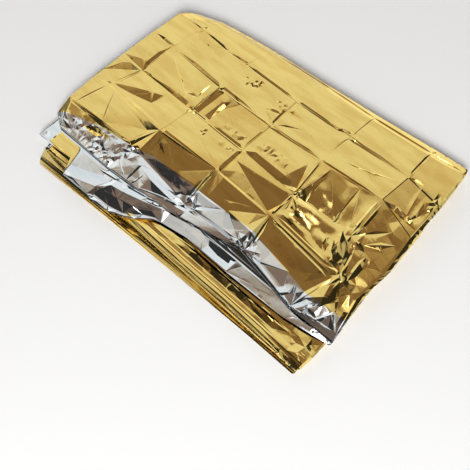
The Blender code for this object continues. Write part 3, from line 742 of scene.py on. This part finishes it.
@dataclass
class Pile:
    """The folded blanket's surface: where each point of the flat sheet lies.

    A point is given by u, which runs over film A's columns (0 to 6), round the right end (6 to 7)
    and back over film B (7 to 13), and by p, which runs over layer 1's rows (0 to 7) and then over
    the back fold (7 to 8), layer 2 (8 to 9), the front fold (9 to 10), layer 3 (10 to 11), and the
    last back fold with layer 4 (11 to 12).
    """

    steps: tuple[float, ...] = (30.0, 570.0, 40.0, 560.0, 22.0)  # mm of flat sheet behind the rows
    last_fold_share: float = 0.04  # of the last step, before layer 4, which is hidden and kept short
    right_wrap: float = 16.0  # mm of flat sheet round the fold at the right end
    right_bulge: float = 1.3  # how far that fold swells, in its own radii
    soft_spots: int = 8  # places sampled on each ring round a point, where edges are soft
    soft_rings: tuple[float, ...] = (0.5, 1.0)  # the rings, as shares of the softness
    nudge: float = 1e-3  # step in u and p over which the surface's slope is measured
    least: float = 1e-9  # shortest normal that is still divided by its length

    def __post_init__(self) -> None:
        """Lay the flat positions of u and p out, in mm, and make the nets of all facets."""
        wrap = COLUMN_AT[-1] + self.right_wrap
        back = [wrap + COLUMN_AT[-1] - at for at in reversed(COLUMN_AT)]
        self.s_stops = np.array([*COLUMN_AT, *back])
        self.t_stops = np.array([*ROW_AT, *(ROW_AT[-1] + np.cumsum(self.steps))])
        self.u_stops, self.p_stops = (np.arange(len(at), dtype=float) for at in (self.s_stops, self.t_stops))
        self.nets = [fold_net(fold, self.flat(*fold.start), self.flat(*fold.end)) for fold in FOLDS]
        self.nets += [self.sketch_net(sketch) for sketch in SKETCHES if not sketch.softness]
        self.soft_nets = [(self.sketch_net(sketch), sketch.softness)
                          for sketch in SKETCHES if sketch.softness]
        self.nets += [self.sketch_net(tile.sketch()) for tile in TILES]
        self.nets += [fan_net(fan, self.flat(*fan.centre)) for fan in FANS]
        for crumple in CRUMPLES:
            corners = [self.flat(u, p) for u, p in zip(crumple.u, crumple.p)]
            self.nets.append(crumple_net(crumple, *corners))

    def sketch_net(self, sketch: Sketch) -> FacetNet:
        """Make the facets between a sketch's lines.

        Args:
            sketch: the lines.

        Returns:
            The net of the facets, turned over on film B's layer 1, which shows its silver side.
        """
        u, p = sketch.lines[0][0][:2]
        side = -1.0 if u > COLUMNS + 1 and p < ROWS else 1.0
        points, heights, edges = [], [], []
        for line in sketch.lines:
            edges += [(len(points) + k, len(points) + k + 1) for k in range(len(line) - 1)]
            points += [self.flat(*point[:2]) for point in line]
            heights += [side * point[2] if len(point) > 2 else 0.0 for point in line]
        return FacetNet(np.array(points), np.array(heights), edges)

    def flat(self, u: float, p: float) -> Array:
        """Find the flat position of a point, in mm."""
        return np.array((np.interp(u, self.u_stops, self.s_stops), np.interp(p, self.p_stops, self.t_stops)))

    def relief(self, s: Array, t: Array) -> Array:
        """Measure how far the creases lift the sheet towards its gold side.

        Args:
            s: places along the flat sheet, in mm.
            t: places across it, in mm.

        Returns:
            The height at each place, in mm.
        """
        total = np.zeros_like(s)
        for net in self.nets:
            total += net.height(s, t)
        turns = np.linspace(0.0, 2.0 * math.pi, self.soft_spots + 1)[:-1]
        samples = self.soft_spots * len(self.soft_rings)
        for net, softness in self.soft_nets:
            for reach in (ring * softness for ring in self.soft_rings):
                for turn in turns:
                    beside = s + reach * math.cos(turn), t + reach * math.sin(turn)
                    total += net.height(*beside) / samples
        return total

    def column_of(self, u: Array) -> Array:
        """Find the column, from 0 at the left to 6 at the right, of a point of either film."""
        return np.minimum(u, 2 * COLUMNS + 1 - u).clip(0.0, COLUMNS)

    def end_x(self, layer: int, half: Half, depth: Array) -> tuple[Array, Array]:
        """Find the ends of a layer.

        Args:
            layer: 0 to 3, from the top.
            half: which half of the blanket.
            depth: 0 at the front, 1 at the back.

        Returns:
            The x of its free end at the left, and of its fold at the right.
        """
        ends = LAYER_ENDS[layer]
        left = np.interp(depth, LEFT_DEPTHS, ends.b_left if half is Half.B else ends.a_left)
        right = np.interp(depth, FOLD_DEPTHS, ends.fold)
        wave = sum(part.share * np.sin(part.radians * depth + part.phase + part.turn * layer)
                   for part in END_RIPPLES)
        return left, right + END_UNEVENNESS * wave

    def top(self, column: Array, row: Array) -> Array:
        """Place points of film A's layer 1, the visible top.

        Args:
            column: 0 at the left to 6 at the right.
            row: 0 at the front edge to 7 at the back fold.

        Returns:
            The points, in mm.
        """
        grids = np.array([[line.x, line.y, line.z] for line in TOP_ROWS], float)
        left = np.clip(np.floor(column), 0, COLUMNS - 1).astype(int)
        front = np.clip(np.floor(row), 0, ROWS - 1).astype(int)
        along, across = column - left, row - front
        place = np.zeros((len(column), 3))
        for right in (0, 1):
            for behind in (0, 1):
                share = (along if right else 1.0 - along) * (across if behind else 1.0 - across)
                place += share[:, None] * grids[front + behind, :, left + right]
        return place

    def layer(self, layer: int, half: Half, column: Array, depth: Array) -> Array:
        """Place points of a hidden film.

        Args:
            layer: which doubled layer, 0 to 3 from the top.
            half: which half of the blanket.
            column: 0 at the left to 6 at the right.
            depth: 0 at the front edge or fold, 1 at the back fold.

        Returns:
            The points, in mm.
        """
        upper = (half is Half.A) == (layer % 2 == 0)
        film = FILMS[2 * layer + (0 if upper else 1) - 1]
        left, right = self.end_x(layer, half, depth)
        x = left + (right - left) * column_at(column) / COLUMN_AT[-1]
        back = BACK_FOLD_UP if layer < 2 else BACK_FOLD_LOW
        front = (SILVER_EDGE, FRONT_FOLD, FRONT_FOLD, LAST_EDGE_UP if upper else LAST_EDGE_LOW)[layer]
        y_front, y_back = np.interp(x, front.x, front.y), np.interp(x, back.x, back.y)
        y = y_front + (y_back - y_front) * depth
        z = np.interp(depth, FILM_DEPTHS, (film.front, film.middle, film.back))
        wave = BROAD_RIPPLE.share * np.sin(BROAD_RIPPLE.along * x + film.phase) * np.cos(
            BROAD_RIPPLE.across * y - film.phase)
        wave += FINE_RIPPLE.share * np.sin(
            FINE_RIPPLE.along * x - FINE_RIPPLE.across * y + 2.0 * film.phase)
        if front is LAST_EDGE_UP:
            z = z + np.interp(depth, ROLL.x, ROLL.y)
        return np.stack((x, y, z + film.ripple * wave), axis=1)

    def pleat(self, start: Array, end: Array, share: Array, fold: Pleat) -> Array:
        """Place points round a pleat fold.

        Args:
            start: the ends of the film that runs into the fold, in mm.
            end: the ends of the next film.
            share: how far each point is from the one to the other.
            fold: where the fold is.

        Returns:
            The points, in mm.
        """
        turn = math.pi * share[:, None]
        middle = (start + end) / 2.0
        radius = np.abs(start[:, 2] - end[:, 2]) / 2.0
        place = middle + (start - middle) * np.sign(np.cos(turn)) * np.abs(np.cos(turn)) ** fold.squareness
        place[:, 1] += fold.way * fold.bulge * radius * np.abs(np.sin(turn[:, 0])) ** fold.squareness
        return place

    def film(self, half: Half, column: Array, p: Array) -> Array:
        """Place points of one half of the blanket, along the whole path of its pleats.

        Args:
            half: which half.
            column: 0 at the left to 6 at the right.
            p: 0 at the front edge of layer 1 to 12 at that of layer 4.

        Returns:
            The points, in mm.
        """
        first = self.top if half is Half.A else self.lower_first
        last_row = np.full_like(column, ROWS)
        zero, one = np.zeros_like(column), np.ones_like(column)
        share = p - np.floor(p)
        place = first(column, np.minimum(p, ROWS))
        step = np.floor(p).astype(int) - ROWS
        share = np.where(step >= len(self.steps), 1.0, share)
        step = np.minimum(step, len(self.steps) - 1)
        routes: tuple[Callable[[Array], Array], ...] = (
            lambda m: self.pleat(first(column[m], last_row[m]), self.layer(1, half, column[m], one[m]),
                                 share[m], Pleat.BACK),
            lambda m: self.layer(1, half, column[m], 1.0 - share[m]),
            lambda m: self.pleat(self.layer(1, half, column[m], zero[m]),
                                 self.layer(2, half, column[m], zero[m]), share[m], Pleat.FRONT),
            lambda m: self.layer(2, half, column[m], share[m]),
            lambda m: self.last_layer(half, column[m], share[m]),
        )
        for number, route in enumerate(routes):
            mask = step == number
            if mask.any():
                place[mask] = route(mask)
        return place

    def lower_first(self, column: Array, row: Array) -> Array:
        """Place points of film B's layer 1, which lies under the top film and has the turned hem.

        Args:
            column: 0 at the left to 6 at the right.
            row: 0 at the front edge to 7 at the back fold.

        Returns:
            The points, in mm.
        """
        hem = np.interp(column, HEM_ROW.x, HEM_ROW.y)
        turned = np.maximum(hem - row, 0.0)
        depth = (row_at(row + 2.0 * turned) - ROW_AT[0]) / (ROW_AT[-1] - ROW_AT[0])
        place = self.layer(0, Half.B, column, depth)
        place[:, 2] += np.interp(column, HEM_LIFT.x, HEM_LIFT.y) * np.minimum(turned / HEM_TURN, 1.0)
        return place

    def last_layer(self, half: Half, column: Array, share: Array) -> Array:
        """Place points round the last back fold and along layer 4.

        Args:
            half: which half of the blanket.
            column: 0 at the left to 6 at the right.
            share: 0 at the end of layer 3 to 1 at the front edge of layer 4.

        Returns:
            The points, in mm.
        """
        one = np.ones_like(column)
        turn = np.clip(share / self.last_fold_share, 0.0, 1.0)
        along = np.clip((share - self.last_fold_share) / (1.0 - self.last_fold_share), 0.0, 1.0)
        start, end = self.layer(2, half, column, one), self.layer(3, half, column, one)
        place = self.pleat(start, end, turn, Pleat.BACK)
        rest = self.layer(3, half, column, 1.0 - along)
        return np.where((share > self.last_fold_share)[:, None], rest, place)

    def surface(self, u: Array, p: Array) -> Array:
        """Place points of the sheet, creases and all.

        Args:
            u: their places over the columns of both films.
            p: their places along the pleats.

        Returns:
            The points, in mm.
        """
        s = np.interp(u, self.u_stops, self.s_stops)
        t = np.interp(p, self.p_stops, self.t_stops)
        place = self.smooth_surface(u, p)
        along = self.smooth_surface(u + self.nudge, p) - self.smooth_surface(u - self.nudge, p)
        across = self.smooth_surface(u, p + self.nudge) - self.smooth_surface(u, p - self.nudge)
        normal = np.cross(along, across)
        normal /= np.maximum(np.linalg.norm(normal, axis=1), self.least)[:, None]
        return place + normal * self.relief(s, t)[:, None]

    def smooth_surface(self, u: Array, p: Array) -> Array:
        """Place points of the sheet as if it had no hand-made creases.

        Args:
            u: their places over the columns of both films.
            p: their places along the pleats.

        Returns:
            The points, in mm.
        """
        column = self.column_of(u)
        on_a, on_b = (self.film(half, column, p) for half in Half)
        turn = np.clip(u - COLUMNS, 0.0, 1.0)[:, None]
        middle = (on_a + on_b) / 2.0
        place = middle + (on_a - middle) * np.cos(math.pi * turn)
        radius = np.abs(on_a[:, 2] - middle[:, 2])
        place[:, 0] += self.right_bulge * radius * np.sin(math.pi * turn[:, 0])
        return place


class Zone(NamedTuple):
    """A stretch of the flat sheet in u and p, with the spacing of its points in mm."""

    u: tuple[float, float]
    p: tuple[float, float]
    spacing: float


@dataclass
class SheetMesher:
    """Triangulates the flat sheet, finely where it shows and coarsely where it is hidden."""

    pile: Pile
    zones: tuple[Zone, ...] = (
        Zone((0, 6), (0, 7), 6.5),
        Zone((6, 7), (0, 7), 5.0),
        Zone((0, 13), (7, 8), 7.0),
        Zone((7, 13), (0, 1.3), 6.0),
        Zone((7, 13), (8.87, 10.1), 5.0),
        Zone((0, 6), (8.96, 10.04), 9.0),
        Zone((0, 13), (11.92, 12), 8.0),
        Zone((5.7, 7.3), (7, 12), 7.0),
        Zone((0, 0.3), (7, 12), 9.0),
        Zone((12.7, 13), (0, 12), 9.0),
        Zone((0, 13), (0, 12), 24.0),
    )
    seed: int = 11
    scatter: float = 0.22  # most that a point is moved each way, as a share of the spacing
    clearance: float = 0.4  # gap to an earlier zone, as a share of the spacing
    rim: float = 0.1  # mm from a zone's outline within which its points stay in line
    vertices: list[Vector] = field(default_factory=list)
    edges: list[tuple[int, int]] = field(default_factory=list)

    def __post_init__(self) -> None:
        """Find the flat sheet's last corner, in u and p and in mm."""
        self.last_u, self.last_p = self.pile.u_stops[-1], self.pile.p_stops[-1]
        self.low, self.high = (
            Vector(self.pile.flat(*corner)) for corner in ((0, 0), (self.last_u, self.last_p)))

    def add_points(self) -> None:
        """Scatter the points of each zone that no earlier zone covers."""
        random = np.random.default_rng(self.seed)
        earlier: list[tuple[Vector, Vector]] = []
        for zone in self.zones:
            low, high = (Vector(self.pile.flat(u, p)) for u, p in zip(zone.u, zone.p))
            size = high - low
            across, along = (max(1, round(side / zone.spacing)) for side in size)
            s, t = np.meshgrid(np.linspace(0, 1, across + 1), np.linspace(0, 1, along + 1))
            s, t = low.x + s.ravel() * size.x, low.y + t.ravel() * size.y
            inside = self.between(s, t, low, high, self.rim)
            s = s + inside * random.uniform(-self.scatter, self.scatter, len(s)) * zone.spacing
            t = t + inside * random.uniform(-self.scatter, self.scatter, len(t)) * zone.spacing
            keep = np.ones(len(s), bool)
            for first, last in earlier:
                keep &= ~self.between(s, t, first, last, -self.clearance * zone.spacing)
            self.vertices += [Vector(pair) for pair in zip(s[keep], t[keep])]
            earlier.append((low, high))

    def between(self, s: Array, t: Array, low: Vector, high: Vector, inset: float) -> Array:
        """Find the points inside a rectangle.

        Args:
            s: the points' places along the flat sheet, in mm.
            t: their places across it.
            low: the rectangle's first corner.
            high: the corner across from it.
            inset: how far inside its sides a point must be, in mm.

        Returns:
            Whether each point is inside.
        """
        along = (s > low.x + inset) & (s < high.x - inset)
        return along & (t > low.y + inset) & (t < high.y - inset)

    def add_line(self, start: Place, end: Place) -> None:
        """Make the triangles follow a straight line between two places in u and p."""
        self.vertices += [Vector(self.pile.flat(*start)), Vector(self.pile.flat(*end))]
        self.edges.append((len(self.vertices) - 2, len(self.vertices) - 1))

    def add_path(self, places: Sequence[Place]) -> None:
        """Make the triangles follow a line through several places in u and p."""
        for start, end in zip(places, places[1:]):
            self.add_line(start, end)

    def add_creases(self) -> None:
        """Make the triangles follow the outline, the creases, the roll, the hem and every net but those with
        soft edges.
        """
        self.add_path(((0, 0), (self.last_u, 0), (self.last_u, self.last_p), (0, self.last_p), (0, 0)))
        for column in range(1, COLUMNS + 1):
            self.add_line((column, 0), (column, ROWS))
        for row in range(1, ROWS + 1):
            self.add_line((0, row), (COLUMNS, row))
        self.add_path([*zip(COATING_END.x, COATING_END.y)])
        for depth in ROLL.x[1:]:
            p = self.last_p - depth * (1.0 - self.pile.last_fold_share)
            self.add_line((COLUMNS, p), (self.last_u, p))
        hem = [*zip(HEM_ROW.x, HEM_ROW.y)]
        for ends in zip(hem, hem[1:]):
            for inset in (0.0, HEM_TURN):
                self.add_path([(self.last_u - u, max(p - inset, 0.0)) for u, p in ends])
        for net in self.pile.nets:
            first = len(self.vertices)
            self.vertices += net.points
            self.edges += [(first + start, first + end) for start, end in net.edges]

    def mesh(self) -> bpy.types.Mesh:
        """Make the sheet's middle surface.

        Returns:
            The mesh, with its flat positions in metres as a UV map.
        """
        self.add_points()
        self.add_creases()
        for point in self.vertices:
            point.x = min(max(point.x, self.low.x), self.high.x)
            point.y = min(max(point.y, self.low.y), self.high.y)
        flat, _, faces, _, _, _ = delaunay_2d_cdt(self.vertices, self.edges, [], OUTLINE, SNAP)
        at = np.array([tuple(point) for point in flat])
        u = np.interp(at[:, 0], self.pile.s_stops, self.pile.u_stops)
        p = np.interp(at[:, 1], self.pile.t_stops, self.pile.p_stops)
        place = self.pile.surface(u, p) * MM
        mesh = bpy.data.meshes.new("foil_sheet")
        mesh.from_pydata(place.tolist(), [], faces)
        uv = mesh.uv_layers.new(name="UVMap")
        loops = np.empty(len(mesh.loops), np.int32)
        mesh.loops.foreach_get("vertex_index", loops)
        uv.data.foreach_set("uv", (at[loops] * MM).ravel())
        corners = np.array([face[:3] for face in faces])
        sides = self.sides(u[corners].mean(axis=1), p[corners].mean(axis=1))
        mesh.polygons.foreach_set("material_index", sides)
        return mesh

    def sides(self, u: Array, p: Array) -> Array:
        """Find which finish shows, for the coating, the bare margin and the turned patches.

        Args:
            u: the faces' places over the columns of both films.
            p: their places along the pleats.

        Returns:
            The first material of each face.
        """
        bare = (p < np.interp(u, COATING_END.x, COATING_END.y)) & (u < COLUMNS + 1)
        sides = np.where(bare, Side.BARE, Side.COATED).astype(np.int32)
        for patch in TURNED:
            sides[self.within(patch.corners, u, p)] = patch.side
        return sides

    def within(self, corners: Sequence[Place], u: Array, p: Array) -> Array:
        """Find the points inside a convex outline.

        Args:
            corners: the outline's corners, counterclockwise.
            u: the points' places over the columns of both films.
            p: their places along the pleats.

        Returns:
            Whether each point is inside.
        """
        inside = np.ones(len(u), bool)
        for (u0, p0), (u1, p1) in zip(corners, [*corners[1:], corners[0]]):
            inside &= (u1 - u0) * (p - p0) - (p1 - p0) * (u - u0) >= 0.0
        return inside


@dataclass(frozen=True)
class FoilFinish:
    """Metallised film: a mirror with fine wrinkles and faint slanting streaks."""

    name: str
    colour: Colour
    streak: Colour  # share of the colour left in its dull streaks
    roughness: float = 0.08
    streak_turn: float = math.radians(38.0)
    streak_stretch: float = 5.0
    streak_scale: float = 9.0
    streak_detail: float = 5.0
    streak_range: tuple[float, float] = (0.38, 0.58)  # of the noise, from dull to clear
    wrinkle: float = 0.08
    wrinkle_height: float = 0.002  # m
    wrinkle_scale: float = 30.0
    wrinkle_detail: float = 2.0

    def material(self) -> bpy.types.Material:
        """Make the finish.

        Returns:
            A new material.
        """
        material = bpy.data.materials.new(self.name)
        material.use_nodes = True
        nodes, links = material.node_tree.nodes, material.node_tree.links
        shader = nodes["Principled BSDF"]
        shader.inputs["Base Color"].default_value = (*self.colour, 1.0)
        shader.inputs["Metallic"].default_value = 1.0
        shader.inputs["Roughness"].default_value = self.roughness
        where = nodes.new("ShaderNodeTexCoord")
        stretch = nodes.new("ShaderNodeMapping")
        stretch.inputs["Rotation"].default_value = (0.0, 0.0, self.streak_turn)
        stretch.inputs["Scale"].default_value = (1.0, self.streak_stretch, 1.0)
        streaks = nodes.new("ShaderNodeTexNoise")
        streaks.inputs["Scale"].default_value = self.streak_scale
        streaks.inputs["Detail"].default_value = self.streak_detail
        tone = nodes.new("ShaderNodeMapRange")
        for end, value in zip(("From Min", "From Max"), self.streak_range):
            tone.inputs[end].default_value = value
        dull = [part * share for part, share in zip(self.colour, self.streak)]
        coat = nodes.new("ShaderNodeMix")
        coat.data_type = "RGBA"
        coat.inputs["A"].default_value = (*dull, 1.0)
        coat.inputs["B"].default_value = (*self.colour, 1.0)
        links.new(where.outputs["UV"], stretch.inputs["Vector"])
        links.new(stretch.outputs["Vector"], streaks.inputs["Vector"])
        links.new(streaks.outputs["Fac"], tone.inputs["Value"])
        links.new(tone.outputs["Result"], coat.inputs["Factor"])
        links.new(coat.outputs["Result"], shader.inputs["Base Color"])
        noise = nodes.new("ShaderNodeTexNoise")
        noise.inputs["Scale"].default_value = self.wrinkle_scale
        noise.inputs["Detail"].default_value = self.wrinkle_detail
        bump = nodes.new("ShaderNodeBump")
        bump.inputs["Strength"].default_value = self.wrinkle
        bump.inputs["Distance"].default_value = self.wrinkle_height
        links.new(where.outputs["UV"], noise.inputs["Vector"])
        links.new(noise.outputs["Fac"], bump.inputs["Height"])
        links.new(bump.outputs["Normal"], shader.inputs["Normal"])
        return material


@dataclass
class FoilBlanket:
    """The blanket as one thin sheet."""

    flat_size: tuple[float, float] = (1.60, 2.10)  # m
    thickness: float = 0.35 * MM  # thicker than the real film, so that its cut edge shows
    gold: FoilFinish = FoilFinish("gold_coated_film", (1.0, 0.77, 0.26), (0.90, 0.84, 0.76))
    silver: FoilFinish = FoilFinish("bare_silver_film", (0.94, 0.975, 1.0), (0.87, 0.91, 0.95))
    crease_angle: float = math.radians(9.0)

    def build(self) -> bpy.types.Object:
        """Make the sheet, give it its thickness and finishes, and set it in the frame.

        Returns:
            The finished sheet.
        """
        mesh = SheetMesher(Pile()).mesh()
        mesh.transform(Matrix.Translation(TO_FRAME))
        mesh.shade_smooth()
        mesh.set_sharp_from_angle(angle=self.crease_angle)
        blanket = bpy.data.objects.new("foil_blanket_sheet", mesh)
        bpy.context.scene.collection.objects.link(blanket)
        for finish in (self.gold, self.silver, self.silver, self.gold):  # in the order of Side
            mesh.materials.append(finish.material())
        thickness = blanket.modifiers.new("thickness", "SOLIDIFY")
        thickness.thickness = self.thickness
        thickness.offset = 0.0
        thickness.material_offset = 1
        thickness.material_offset_rim = 1
        self.bake(blanket)
        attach(blanket, "root")
        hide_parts("foil_blanket")
        return blanket

    def bake(self, piece: bpy.types.Object) -> None:
        """Turn a piece's modifiers into a plain mesh.

        Args:
            piece: the piece, which is changed.
        """
        depsgraph = bpy.context.evaluated_depsgraph_get()
        mesh = bpy.data.meshes.new_from_object(piece.evaluated_get(depsgraph))
        piece.modifiers.clear()
        piece.data = mesh


class Panel(NamedTuple):
    """A soft light that faces the pile.

    Its azimuth is in degrees from +X towards +Y, its elevation in degrees, its distance and sides
    in metres, and its brightness is its radiance. One that isn't `mirrored` lights the floor alone.
    """

    name: str
    azimuth: float
    elevation: float
    distance: float
    width: float
    height: float
    brightness: float
    colour: Colour = (1.0, 1.0, 1.0)
    mirrored: bool = True


SOFT = (1.0, 1.01, 0.99)  # the tint of the soft boxes
WARM = (1.0, 0.93, 0.82)  # of their upper edge
WARMER = (1.0, 0.765, 0.525)  # of the last of it
DIM = (1.0, 0.64, 0.41)  # and of the dim ceiling


@dataclass
class Studio:
    """The floor, the lights and the camera."""

    aim: Vector = field(default_factory=lambda: Vector((0.112, -0.1754, 0.045)) + TO_FRAME)
    azimuth: float = -44.6  # degrees, as a panel's
    elevation: float = 53.8
    distance: float = 3.007  # m
    lens: float = 106.9  # mm
    sensor: float = 36.0  # mm
    floor_side: float = 12.0  # m
    floor_colour: Colour = (0.93, 0.93, 0.93)
    floor_roughness: float = 0.9
    air_colour: Colour = (1.0, 0.97, 0.95)
    air_brightness: float = 0.03
    panels: tuple[Panel, ...] = (
        Panel("back_low", 135, 12.1, 4.0, 4.6, 1.75, 0.95, SOFT),
        Panel("back_middle", 135, 33.1, 4.0, 4.4, 1.20, 0.76, SOFT),
        Panel("back_high_1", 135, 44.5, 4.0, 4.3, 0.40, 0.73, SOFT),
        Panel("back_high_2", 135, 48.9, 4.0, 4.2, 0.21, 0.72, SOFT),
        Panel("back_high_3", 135, 51.9, 4.0, 4.2, 0.21, 0.72, SOFT),
        Panel("back_high_4", 135, 54.9, 4.0, 4.1, 0.21, 0.66, WARM),
        Panel("back_high_5", 135, 57.9, 4.0, 4.0, 0.21, 0.52, WARM),
        Panel("back_high_6", 135, 60.9, 4.0, 3.9, 0.21, 0.33, WARMER),
        Panel("top_back", 135, 68.1, 4.0, 3.4, 0.80, 0.19, DIM),
        Panel("top_middle", 135, 78.1, 4.0, 3.2, 0.60, 0.13, DIM),
        Panel("top_front", 135, 90.2, 4.0, 3.0, 1.10, 0.05, DIM),
        Panel("left_dim", 172, 45.0, 4.0, 1.0, 1.20, 0.18, SOFT),
        Panel("left_side", 195, 30.0, 4.0, 1.4, 1.80, 0.45, SOFT),
        Panel("right_side", 70, 30.0, 4.0, 1.4, 1.80, 0.45, SOFT),
        Panel("key", 112, 73.0, 3.0, 0.30, 0.30, 3.6),
        Panel("key_rim", 112, 73.0, 3.2, 0.62, 0.62, 1.0),
        Panel("front_low", -50, 24.0, 5.9, 8.4, 5.05, 0.88, SOFT),
        Panel("left_low", 228, 22.0, 5.9, 4.2, 3.65, 0.42, SOFT),
        Panel("right_low", 40, 22.0, 5.9, 3.65, 3.65, 0.42, SOFT),
        Panel("front", -50, 38.0, 5.9, 2.1, 1.83, 28.0, mirrored=False),
    )

    def build(self) -> None:
        """Set the studio up."""
        self.add_floor()
        self.add_camera()
        for panel in self.panels:
            self.add_panel(panel)
        world = bpy.data.worlds.new("studio_air")
        world.use_nodes = True
        air = world.node_tree.nodes["Background"]
        air.inputs["Color"].default_value = (*self.air_colour, 1.0)
        air.inputs["Strength"].default_value = self.air_brightness
        bpy.context.scene.world = world
        bpy.context.scene.view_settings.view_transform = "Standard"

    def direction(self, azimuth: float, elevation: float) -> Vector:
        """Point away from the pile.

        Args:
            azimuth: degrees from +X towards +Y.
            elevation: degrees up from level.

        Returns:
            A vector one metre long.
        """
        turn, rise = math.radians(azimuth), math.radians(elevation)
        return Vector((math.cos(turn) * math.cos(rise), math.sin(turn) * math.cos(rise), math.sin(rise)))

    def add_floor(self) -> None:
        """Add a large pale floor."""
        half = self.floor_side / 2.0
        corners = [(-half, -half, 0.0), (half, -half, 0.0), (half, half, 0.0), (-half, half, 0.0)]
        mesh = bpy.data.meshes.new("floor")
        mesh.from_pydata(corners, [], [(0, 1, 2, 3)])
        material = bpy.data.materials.new("white_paper")
        material.use_nodes = True
        shader = material.node_tree.nodes["Principled BSDF"]
        shader.inputs["Base Color"].default_value = (*self.floor_colour, 1.0)
        shader.inputs["Roughness"].default_value = self.floor_roughness
        mesh.materials.append(material)
        floor = bpy.data.objects.new("floor", mesh)
        bpy.context.scene.collection.objects.link(floor)

    def add_camera(self) -> None:
        """Add the camera, at the height and turn from which the pile is seen."""
        back = self.direction(self.azimuth, self.elevation)
        data = bpy.data.cameras.new("camera")
        data.lens = self.lens
        data.sensor_width = self.sensor
        camera = bpy.data.objects.new("camera", data)
        camera.location = self.aim + back * self.distance
        camera.rotation_euler = back.to_track_quat("Z", "Y").to_euler()
        bpy.context.scene.collection.objects.link(camera)
        bpy.context.scene.camera = camera

    def add_panel(self, panel: Panel) -> None:
        """Add one soft light, turned to the middle of the pile.

        Args:
            panel: the light's place and sizes.
        """
        data = bpy.data.lights.new(panel.name, "AREA")
        data.shape = "RECTANGLE"
        data.size, data.size_y = panel.width, panel.height
        data.energy = panel.brightness * math.pi * panel.width * panel.height
        data.color = panel.colour
        light = bpy.data.objects.new(panel.name, data)
        away = self.direction(panel.azimuth, panel.elevation)
        light.location = away * panel.distance
        light.rotation_euler = away.to_track_quat("Z", "Y").to_euler()
        light.visible_glossy = panel.mirrored
        bpy.context.scene.collection.objects.link(light)


def main() -> None:
    """Build the blanket and its studio, and report."""
    logging.basicConfig(level=logging.INFO, format="%(name)s: %(message)s")
    blanket = FoilBlanket().build()
    LOG.info("%s: %d triangles", blanket.name, sum(len(f.vertices) - 2 for f in blanket.data.polygons))
    Studio().build()


if __name__ == "__main__":
    main()
